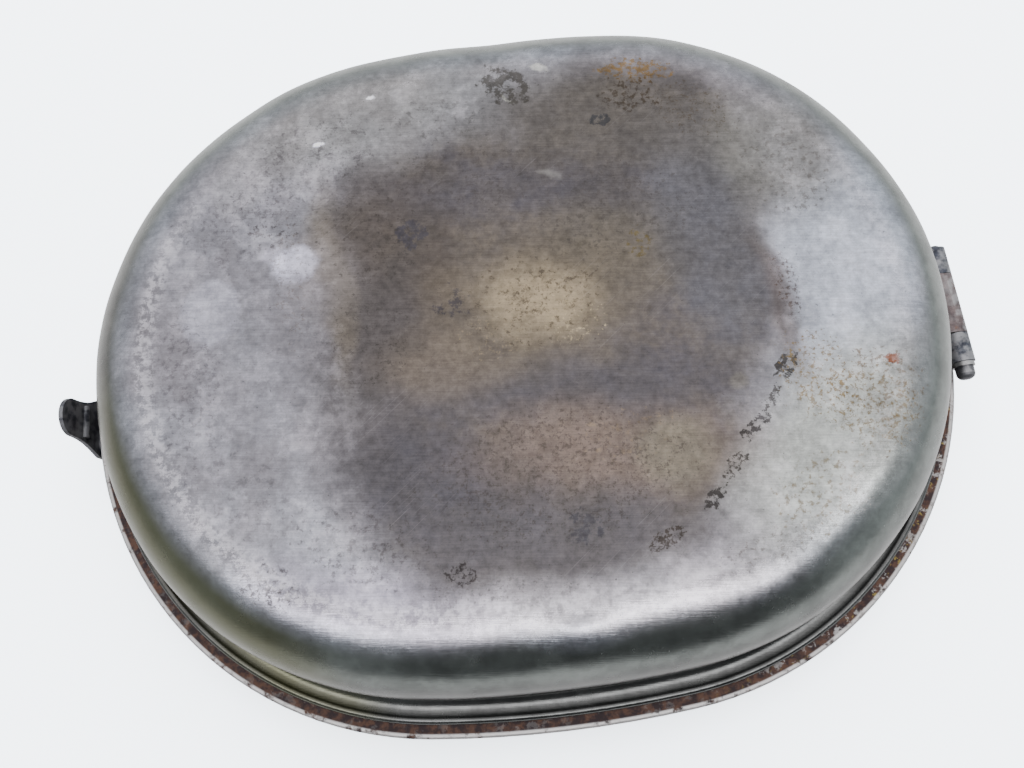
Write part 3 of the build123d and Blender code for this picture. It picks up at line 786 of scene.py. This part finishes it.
def makeLidMaterial(settings):
    material, tree, shader = startMaterial("rustyLidSteel")
    fine = useGroup(tree, placeGroup, Warp=1.5, WarpSize=3.0)
    place = fine["Place"]
    split = tree.nodes.new("ShaderNodeSeparateXYZ")
    feed(tree, split.inputs[0], place)
    inset = useGroup(tree, insetGroup, Place=place)["Inset"]
    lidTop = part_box("lid_plate")[1][2] / mm
    nearTop = spread(tree, split.outputs["Z"], lidTop - 2.2, lidTop - 1.4)
    outside = spread(tree, inset, 9.0, 6.0)
    band = maths(tree, "MULTIPLY", nearTop, outside)
    mottled = noiseField(tree, fine["Warped"], 0.10, detail=6.0, roughness=0.65)
    colour = mixColour(tree, spread(tree, mottled, 0.32, 0.62), settings["bareDark"], settings["bare"])
    grain = useGroup(tree, grainGroup, Place=place, Turn=0.2, Length=8.0, Width=0.35)
    colour = vectorMaths(tree, "SCALE", colour, scale=spread(tree, grain["Grain"], 0.3, 0.7, 0.85, 1.12))
    lowRust = useGroup(tree, speckleGroup, Place=place, Size=4.0, Cover=0.22, Edge=0.12)["Mask"]
    colour = mixColour(tree, maths(tree, "MULTIPLY", lowRust, 0.6), colour, settings["rustBrown"])

    # flange rust, paler and more open towards the hinge
    towardsHinge = spread(tree, split.outputs["X"], 20.0, 80.0)
    rust = mixColour(tree, spread(tree, noiseField(tree, place, 0.45, 5.0, 0.7), 0.42, 0.62),
                     settings["rustDark"], settings["rustBrown"])
    flecks = useGroup(tree, speckleGroup, Place=place, Size=1.3, Cover=0.30, Edge=0.05)["Mask"]
    rust = mixColour(tree, maths(tree, "MULTIPLY", flecks, towardsHinge), rust, settings["ochre"])
    holes = useGroup(tree, speckleGroup, Place=fine["Warped"], Size=2.4, Cover=0.42, Edge=0.08)["Mask"]
    holes = maths(tree, "MULTIPLY", holes, spread(tree, towardsHinge, 0.0, 1.0, 0.12, 0.75))
    rustCover = maths(tree, "MULTIPLY", band, maths(tree, "SUBTRACT", 1.0, holes))
    colour = mixColour(tree, rustCover, colour, rust)

    # the rolled edge is pale in patches: rubbed wear together with a painted highlight on the roll's lit top
    rolled = spread(tree, inset, -1.9, -2.4)
    rubbed = spread(tree, noiseField(tree, place, 0.25, 5.0, 0.7), 0.36, 0.50)
    rollWearAndSheen = maths(tree, "MULTIPLY", maths(tree, "MULTIPLY", rolled, rubbed), 0.85)
    colour = mixColour(tree, rollWearAndSheen, colour, settings["paleRollWearAndSheen"])
    feed(tree, shader.inputs["Base Color"], colour)
    dull = maths(tree, "MULTIPLY", rustCover, maths(tree, "SUBTRACT", 1.0, rollWearAndSheen))
    rough = spread(tree, dull, 0.0, 1.0, settings["roughness"], settings["rustRoughness"], smooth=False)
    feed(tree, shader.inputs["Roughness"], rough)
    metal = spread(tree, dull, 0.0, 1.0, 1.0, settings["rustMetal"], smooth=False)
    feed(tree, shader.inputs["Metallic"], metal)
    shader.inputs["Specular IOR Level"].default_value = 0.3
    height = maths(tree, "ADD", grain["Grain"], maths(tree, "MULTIPLY", flecks, dull))
    addBump(tree, shader, height, 0.35, 0.00012)
    return material


# plain steels for the small parts
partFinishes = {
    "bracket_steel": {
        "name": "dullBracketSteel", "light": tone(104, 93, 93), "dark": tone(60, 53, 55),
        "rust": tone(72, 50, 40), "rustCover": 0.3, "roughness": 0.45,
        "metal": 0.85, "wear": 0.45,
    },
    "rivet_steel": {
        "name": "dullRivetSteel", "light": tone(150, 147, 144), "dark": tone(100, 96, 94),
        "rust": tone(98, 66, 48), "rustCover": 0.30, "roughness": 0.42,
        "metal": 0.9, "wear": 0.8,
    },
    "handle_steel": {
        "name": "bluedHandleSteel", "light": tone(60, 63, 72), "dark": tone(34, 36, 43),
        "rust": tone(60, 42, 34), "rustCover": 0.16, "roughness": 0.42,
        "metal": 0.75, "wear": 0.35,
    },
    # near black: blued steel, darkened further by painted shade for the tongue's shaded inner face
    "latch_steel": {
        "name": "blackLatchSteelWithShade", "light": tone(24, 25, 34), "dark": tone(12, 13, 20),
        "rust": tone(36, 26, 24), "rustCover": 0.04, "roughness": 0.45,
        "metal": 0.4, "wear": 0.15,
    },
    "pin_steel": {
        "name": "darkPinSteel", "light": tone(84, 84, 88), "dark": tone(46, 46, 50),
        "rust": tone(84, 58, 44), "rustCover": 0.25, "roughness": 0.42,
        "metal": 0.85, "wear": 0.5,
    },
    "washer_steel": {
        "name": "brightWasherSteel", "light": tone(160, 160, 160), "dark": tone(110, 108, 108),
        "rust": tone(112, 78, 54), "rustCover": 0.18, "roughness": 0.36,
        "metal": 0.95, "wear": 0.4,
    },
    "rim_wire": {
        "name": "plainRimWire", "light": tone(150, 150, 150), "dark": tone(110, 108, 106),
        "rust": tone(100, 70, 52), "rustCover": 0.2, "roughness": 0.4,
        "metal": 0.95, "wear": 0.3,
    },
    "ring_steel": {
        "name": "dullRingSteel", "light": tone(158, 156, 154), "dark": tone(108, 104, 102),
        "rust": tone(104, 72, 50), "rustCover": 0.3, "roughness": 0.38,
        "metal": 0.92, "wear": 0.7,
    },
}


def makePartMaterial(settings):
    material, tree, shader = startMaterial(settings["name"])
    fine = useGroup(tree, placeGroup, Warp=0.8, WarpSize=2.0)
    place = fine["Place"]
    mottled = noiseField(tree, fine["Warped"], 0.35, detail=6.0, roughness=0.68)
    colour = mixColour(tree, spread(tree, mottled, 0.32, 0.66), settings["dark"], settings["light"])
    grain = useGroup(tree, grainGroup, Place=place, Turn=0.1, Length=4.0, Width=0.22)
    colour = vectorMaths(tree, "SCALE", colour, scale=spread(tree, grain["Grain"], 0.3, 0.7, 0.86, 1.14))
    worn = useGroup(tree, edgeGroup, Place=place, Amount=settings["wear"], Breakup=2.5)["Mask"]
    colour = mixColour(tree, worn, colour, tone(176, 176, 178))
    cover = settings["rustCover"]
    rust = useGroup(tree, speckleGroup, Place=fine["Warped"], Size=1.6, Cover=cover, Edge=0.10)["Mask"]
    colour = mixColour(tree, maths(tree, "MULTIPLY", rust, 0.75), colour, settings["rust"])
    feed(tree, shader.inputs["Base Color"], colour)
    middle = settings["roughness"]
    rough = spread(tree, mottled, 0.3, 0.7, middle - 0.06, middle + 0.1, smooth=False)
    rough = maths(tree, "ADD", rough, maths(tree, "MULTIPLY", rust, 0.3), clamp=True)
    feed(tree, shader.inputs["Roughness"], rough)
    metal = settings["metal"]
    feed(tree, shader.inputs["Metallic"], spread(tree, rust, 0.0, 1.0, metal, metal * 0.35, smooth=False))
    height = maths(tree, "ADD", grain["Grain"], mottled)
    addBump(tree, shader, height, 0.25, 0.00010)
    return material


materials = {slot: makePartMaterial(finish) for slot, finish in partFinishes.items()}
materials["lid_steel"] = makeLidMaterial(lidFinish)
materials["pan_steel"] = panSteel
for part in frame["record"]["subparts"]:
    node = frame["nodes"][part["node"]]
    for slot in node.material_slots:
        slot.material = materials[part["material_slot"]]
print("materials on the parts")


# floor, light and world: the world's levels are by direction, as the metal mirrors them
studio = {
    "floorSeen": (0.82, 0.89, 0.97, 1.0),
    "floorGlow": 1.9,
    "floorReflected": 0.34,
    "floorSize": 6.0,
    "overhead": {"at": (0.10, 0.45, 1.2), "size": (1.6, 1.2), "power": 68},
    "dome": 1.6,
    "stripe": 4.0,
    "front": 0.20,
    "frontLeft": 0.5,
    "backdrop": 4.0,
    "back": 1.2,
    "left": 0.85,
    "right": 1.1,
}


def addSoftbox(name, settings):
    light = bpy.data.lights.new(name, "AREA")
    light.shape = "RECTANGLE"
    light.size, light.size_y = settings["size"]
    light.energy = settings["power"]
    lamp = bpy.data.objects.new(name, light)
    lamp.location = settings["at"]
    lamp.rotation_euler = (Vector((0, 0, 0.02)) - lamp.location).to_track_quat("-Z", "Y").to_euler()
    lamp.visible_glossy = False  # lights the floor, the world shows in the metal
    bpy.context.collection.objects.link(lamp)


def makeFloor(settings):
    half = settings["floorSize"] / 2
    mesh = bpy.data.meshes.new("floor")
    corners = [(-half, -half, 0), (half, -half, 0), (half, half, 0), (-half, half, 0)]
    mesh.from_pydata(corners, [], [(0, 1, 2, 3)])
    floor = bpy.data.objects.new("floor", mesh)
    bpy.context.collection.objects.link(floor)
    material, tree, shader = startMaterial("paleFloor")
    direct = tree.nodes.new("ShaderNodeLightPath").outputs["Is Camera Ray"]
    share = settings["floorReflected"]
    colour = mixColour(tree, direct, (share, share, share, 1.0), settings["floorSeen"])
    feed(tree, shader.inputs["Base Color"], colour)
    shader.inputs["Emission Color"].default_value = (0.90, 0.95, 1.0, 1.0)
    feed(tree, shader.inputs["Emission Strength"], maths(tree, "MULTIPLY", direct, settings["floorGlow"]))
    shader.inputs["Roughness"].default_value = 0.7
    shader.inputs["Specular IOR Level"].default_value = 0.0
    mesh.materials.append(material)


def lightWorld(settings):
    world = bpy.data.worlds.new("softRoom")
    bpy.context.scene.world = world
    world.use_nodes = True
    tree = world.node_tree
    split = tree.nodes.new("ShaderNodeSeparateXYZ")
    feed(tree, split.inputs[0], tree.nodes.new("ShaderNodeTexCoord").outputs["Generated"])
    across, along, height = split.outputs
    low = spread(tree, along, -0.55, 0.35, settings["front"], settings["back"])
    low = maths(tree, "MAXIMUM", low, spread(tree, across, -0.05, -0.45, 0.0, settings["frontLeft"]))
    low = maths(tree, "MAXIMUM", low, spread(tree, across, -0.5, -0.95, 0.0, settings["left"]))
    low = maths(tree, "MAXIMUM", low, spread(tree, across, 0.5, 0.95, 0.0, settings["right"]))
    tilted = maths(tree, "ADD", height, maths(tree, "MULTIPLY", along, 0.18))
    dome = spread(tree, tilted, 0.62, 0.80)
    stripe = maths(tree, "MULTIPLY", spread(tree, along, -0.10, -0.22), spread(tree, along, -0.54, -0.44))
    top = maths(tree, "ADD", settings["dome"], maths(tree, "MULTIPLY", stripe, settings["stripe"]))
    level = maths(tree, "ADD", low, maths(tree, "MULTIPLY", dome, maths(tree, "SUBTRACT", top, low)))
    colour = mixColour(tree, dome, (0.93, 0.98, 1.0, 1.0), (1.0, 0.985, 0.99, 1.0))
    direct = tree.nodes.new("ShaderNodeLightPath").outputs["Is Camera Ray"]  # a plain pale backdrop
    missing = maths(tree, "SUBTRACT", settings["backdrop"], level)
    level = maths(tree, "ADD", level, maths(tree, "MULTIPLY", direct, missing))
    feed(tree, tree.nodes["Background"].inputs["Color"], colour)
    feed(tree, tree.nodes["Background"].inputs["Strength"], level)


makeFloor(studio)
addSoftbox("overhead", studio["overhead"])
lightWorld(studio)
print("floor and lights placed")
